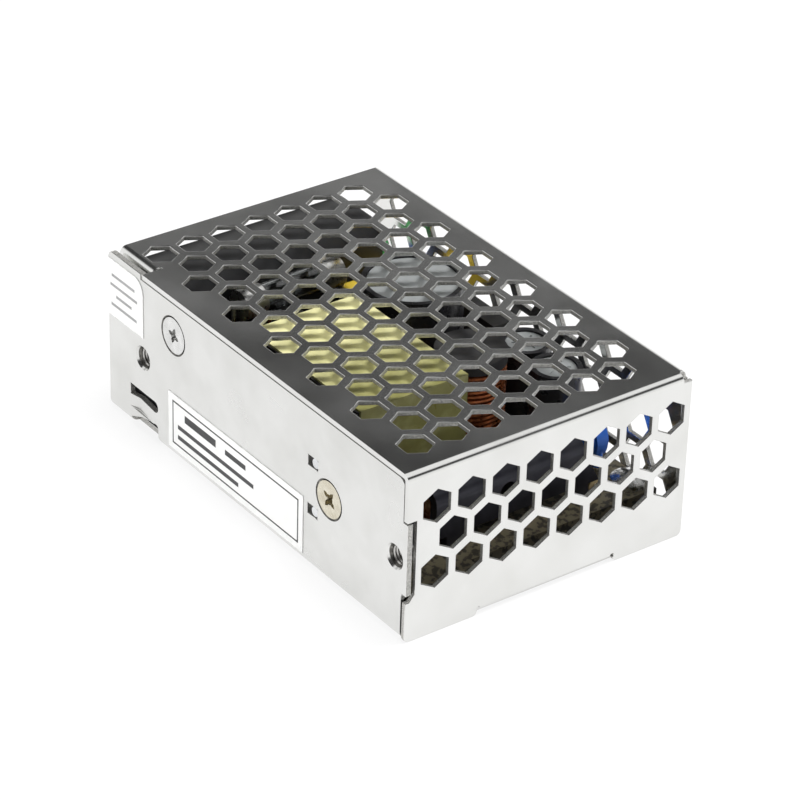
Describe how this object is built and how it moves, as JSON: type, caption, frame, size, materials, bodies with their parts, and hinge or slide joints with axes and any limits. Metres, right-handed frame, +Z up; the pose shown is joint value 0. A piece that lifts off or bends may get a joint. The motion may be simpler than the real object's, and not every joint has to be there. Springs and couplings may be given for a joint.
{
  "type": "mesh case switching power supply",
  "caption": "Flat metal-cased switching power supply with a hexagon-perforated cover, screw terminals open at one end and countersunk screws in a lanced side wall.",
  "frame": {"origin": "middle of the underside, on the floor it stands on", "axes": "+X from the terminal end to the perforated end plate, +Y from the labelled side wall to the far perforated wall, +Z up"},
  "size_m": [0.078, 0.0512, 0.028],
  "materials": {
    "chassis_sheet": "satin",
    "cover_sheet": "satin",
    "plated_screw": "bright",
    "nickel_screw": "bright",
    "spreader_bar": "mill",
    "pad": "matt",
    "black_resin": "matt",
    "black_film": "satin",
    "spacer_brass": "satin",
    "board_laminate": "matt",
    "black_plastic": "satin",
    "tinned_metal": "satin",
    "solder": "bright",
    "terminal_plating": "satin",
    "blue_plastic": "satin",
    "white_plastic": "satin",
    "green_resin": "gloss",
    "clear_glass": "clear",
    "fuse_metal": "bright",
    "dark_coating": "satin",
    "ferrite": "matt",
    "copper_wire": "enamelled",
    "yellow_box": "satin",
    "can_aluminium": "satin",
    "black_sleeve": "satin",
    "yellow_tape": "satin",
    "black_anodised": "satin",
    "blue_coating": "satin",
    "red_coating": "satin",
    "tan_coating": "satin",
    "label_paper": "satin"
  },
  "bodies": {
    "case": {"chassis": "chassis_sheet", "cover": "cover_sheet", "cover_screw": "plated_screw", "spreader_screw": "nickel_screw", "heat_spreader": "spreader_bar", "thermal_pad": "pad", "power_transistor": "black_resin", "insulation_sheet": "black_film", "board_spacers": "spacer_brass", "board_screws": "plated_screw", "circuit_board": "board_laminate", "terminal_body": "black_plastic", "terminal_contacts": "tinned_metal", "trimmer_body": "blue_plastic", "indicator_led": "green_resin", "fuse_glass": "clear_glass", "fuse_caps": "fuse_metal", "inrush_thermistor": "dark_coating", "line_filter_core": "ferrite", "line_filter_winding": "copper_wire", "line_capacitor": "yellow_box", "bridge_rectifier": "black_resin", "bulk_capacitor_can": "can_aluminium", "bulk_capacitor_sleeve": "black_sleeve", "transformer_core": "ferrite", "transformer_bobbin": "black_plastic", "transformer_winding": "yellow_tape", "transformer_tape": "yellow_tape", "output_choke_core": "ferrite", "output_choke_winding": "copper_wire", "output_capacitor_cans": "can_aluminium", "output_capacitor_sleeves": "black_sleeve", "output_heat_sink": "black_anodised", "output_diode": "black_resin", "safety_capacitor": "blue_coating", "film_capacitor": "red_coating", "optocoupler": "black_resin", "control_chip": "black_resin", "resistors": "tan_coating", "component_leads": "tinned_metal", "solder_joints": "solder", "nameplate_label": "label_paper", "seal_label": "label_paper"},
    "clamp_1": {"clamp_washer_1": "terminal_plating"},
    "screw_1": {"terminal_screw_1": "terminal_plating"},
    "clamp_2": {"clamp_washer_2": "terminal_plating"},
    "screw_2": {"terminal_screw_2": "terminal_plating"},
    "clamp_3": {"clamp_washer_3": "terminal_plating"},
    "screw_3": {"terminal_screw_3": "terminal_plating"},
    "clamp_4": {"clamp_washer_4": "terminal_plating"},
    "screw_4": {"terminal_screw_4": "terminal_plating"},
    "clamp_5": {"clamp_washer_5": "terminal_plating"},
    "screw_5": {"terminal_screw_5": "terminal_plating"},
    "trimmer_turn": {"trimmer_rotor": "white_plastic"}
  },
  "joints": [
    {"name": "clamp_1_slide", "type": "slide", "parent": "case", "child": "clamp_1", "axis": [-1, 0, 0], "range_m": [0, 0.00201]},
    {"name": "screw_1_turn", "type": "hinge", "parent": "clamp_1", "child": "screw_1", "pos_m": [-0.0346, -0.01794, 0.015], "axis": [-1, 0, 0], "range_deg": [0, 1440]},
    {"name": "clamp_2_slide", "type": "slide", "parent": "case", "child": "clamp_2", "axis": [-1, 0, 0], "range_m": [0, 0.00201]},
    {"name": "screw_2_turn", "type": "hinge", "parent": "clamp_2", "child": "screw_2", "pos_m": [-0.0346, -0.01032, 0.015], "axis": [-1, 0, 0], "range_deg": [0, 1440]},
    {"name": "clamp_3_slide", "type": "slide", "parent": "case", "child": "clamp_3", "axis": [-1, 0, 0], "range_m": [0, 0.00201]},
    {"name": "screw_3_turn", "type": "hinge", "parent": "clamp_3", "child": "screw_3", "pos_m": [-0.0346, -0.0027, 0.015], "axis": [-1, 0, 0], "range_deg": [0, 1440]},
    {"name": "clamp_4_slide", "type": "slide", "parent": "case", "child": "clamp_4", "axis": [-1, 0, 0], "range_m": [0, 0.00201]},
    {"name": "screw_4_turn", "type": "hinge", "parent": "clamp_4", "child": "screw_4", "pos_m": [-0.0346, 0.00492, 0.015], "axis": [-1, 0, 0], "range_deg": [0, 1440]},
    {"name": "clamp_5_slide", "type": "slide", "parent": "case", "child": "clamp_5", "axis": [-1, 0, 0], "range_m": [0, 0.00201]},
    {"name": "screw_5_turn", "type": "hinge", "parent": "clamp_5", "child": "screw_5", "pos_m": [-0.0346, 0.01254, 0.015], "axis": [-1, 0, 0], "range_deg": [0, 1440]},
    {"name": "trimmer_turn", "type": "hinge", "parent": "case", "child": "trimmer_turn", "pos_m": [-0.0374, 0.02065, 0.0099], "axis": [-1, 0, 0], "range_deg": [-120, 120]}
  ]
}
